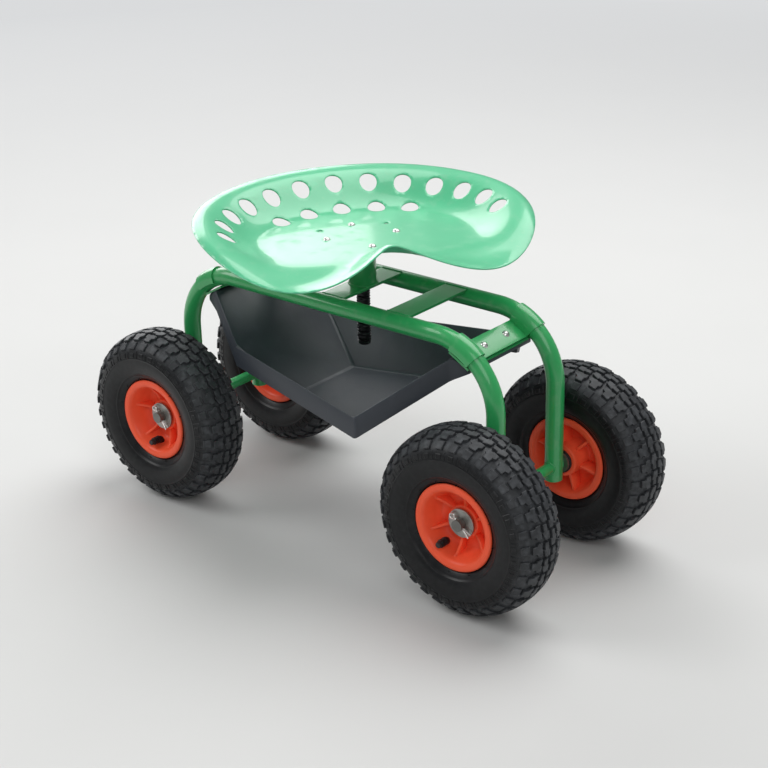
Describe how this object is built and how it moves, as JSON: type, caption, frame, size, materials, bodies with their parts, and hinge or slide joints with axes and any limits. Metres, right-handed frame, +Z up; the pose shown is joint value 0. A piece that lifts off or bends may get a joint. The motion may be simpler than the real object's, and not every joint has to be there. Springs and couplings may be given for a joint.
{
  "type": "rolling garden seat",
  "caption": "Rolling garden seat: pressed pan seat on a screw spindle over a tube frame with pneumatic wheels and a moulded tool tray hung between the rails.",
  "frame": {"origin": "on the ground under the seat post's axis, midway between the two axles", "axes": "+X along the rails towards the wide end of the tray, +Y to the left wheels, +Z up"},
  "size_m": [0.817, 0.4575, 0.4719],
  "materials": {
    "green_paint": "gloss",
    "dark_steel": "satin",
    "zinc_steel": "satin",
    "tray_plastic": "matte",
    "rim_plastic": "satin",
    "tyre_rubber": "matte",
    "tube_rubber": "matte",
    "bush_plastic": "matte"
  },
  "bodies": {
    "frame": {"left_rail": "green_paint", "right_rail": "green_paint", "front_axle": "green_paint", "rear_axle": "green_paint", "front_cross_bar": "green_paint", "rear_cross_bar": "green_paint", "seat_cross_bar": "green_paint", "post_tube": "green_paint", "front_clamp_strap": "green_paint", "rear_clamp_strap": "green_paint", "front_clamp_plate": "green_paint", "rear_clamp_plate": "green_paint", "spindle_nut": "dark_steel", "post_bush": "bush_plastic", "clamp_bolts": "zinc_steel", "clamp_nuts": "zinc_steel", "wheel_spacers": "zinc_steel", "axle_washers": "zinc_steel", "cotter_pins": "zinc_steel", "tool_tray": "tray_plastic"},
    "spindle": {"seat_spindle": "dark_steel"},
    "seat": {"seat_plate": "green_paint", "seat_pan": "green_paint", "seat_bolts": "zinc_steel", "seat_washers": "zinc_steel", "seat_nuts": "zinc_steel"},
    "front_left_wheel": {"front_left_tyre": "tyre_rubber", "front_left_rim": "rim_plastic", "front_left_inner_tube": "tube_rubber", "front_left_bushes": "bush_plastic", "front_left_valve_stem": "tube_rubber", "front_left_valve_cap": "bush_plastic"},
    "front_right_wheel": {"front_right_tyre": "tyre_rubber", "front_right_rim": "rim_plastic", "front_right_inner_tube": "tube_rubber", "front_right_bushes": "bush_plastic", "front_right_valve_stem": "tube_rubber", "front_right_valve_cap": "bush_plastic"},
    "rear_left_wheel": {"rear_left_tyre": "tyre_rubber", "rear_left_rim": "rim_plastic", "rear_left_inner_tube": "tube_rubber", "rear_left_bushes": "bush_plastic", "rear_left_valve_stem": "tube_rubber", "rear_left_valve_cap": "bush_plastic"},
    "rear_right_wheel": {"rear_right_tyre": "tyre_rubber", "rear_right_rim": "rim_plastic", "rear_right_inner_tube": "tube_rubber", "rear_right_bushes": "bush_plastic", "rear_right_valve_stem": "tube_rubber", "rear_right_valve_cap": "bush_plastic"}
  },
  "joints": [
    {"name": "seat_height", "type": "slide", "parent": "frame", "child": "spindle", "axis": [0, 0, 1], "range_m": [0, 0.062]},
    {"name": "seat_swivel", "type": "hinge", "parent": "spindle", "child": "seat", "pos_m": [0, 0, 0.4197], "axis": [0, 0, 1], "range_deg": [0, 5580]},
    {"name": "front_left_spin", "type": "hinge", "parent": "frame", "child": "front_left_wheel", "pos_m": [0.2785, 0.128, 0.13], "axis": [0, 1, 0], "continuous": true},
    {"name": "front_right_spin", "type": "hinge", "parent": "frame", "child": "front_right_wheel", "pos_m": [0.2785, -0.128, 0.13], "axis": [0, 1, 0], "continuous": true},
    {"name": "rear_left_spin", "type": "hinge", "parent": "frame", "child": "rear_left_wheel", "pos_m": [-0.2785, 0.128, 0.13], "axis": [0, 1, 0], "continuous": true},
    {"name": "rear_right_spin", "type": "hinge", "parent": "frame", "child": "rear_right_wheel", "pos_m": [-0.2785, -0.128, 0.13], "axis": [0, 1, 0], "continuous": true}
  ],
  "couplings": [
    {"joint": "seat_height", "follows": "seat_swivel", "m_per_rad": 0.0006366}
  ]
}
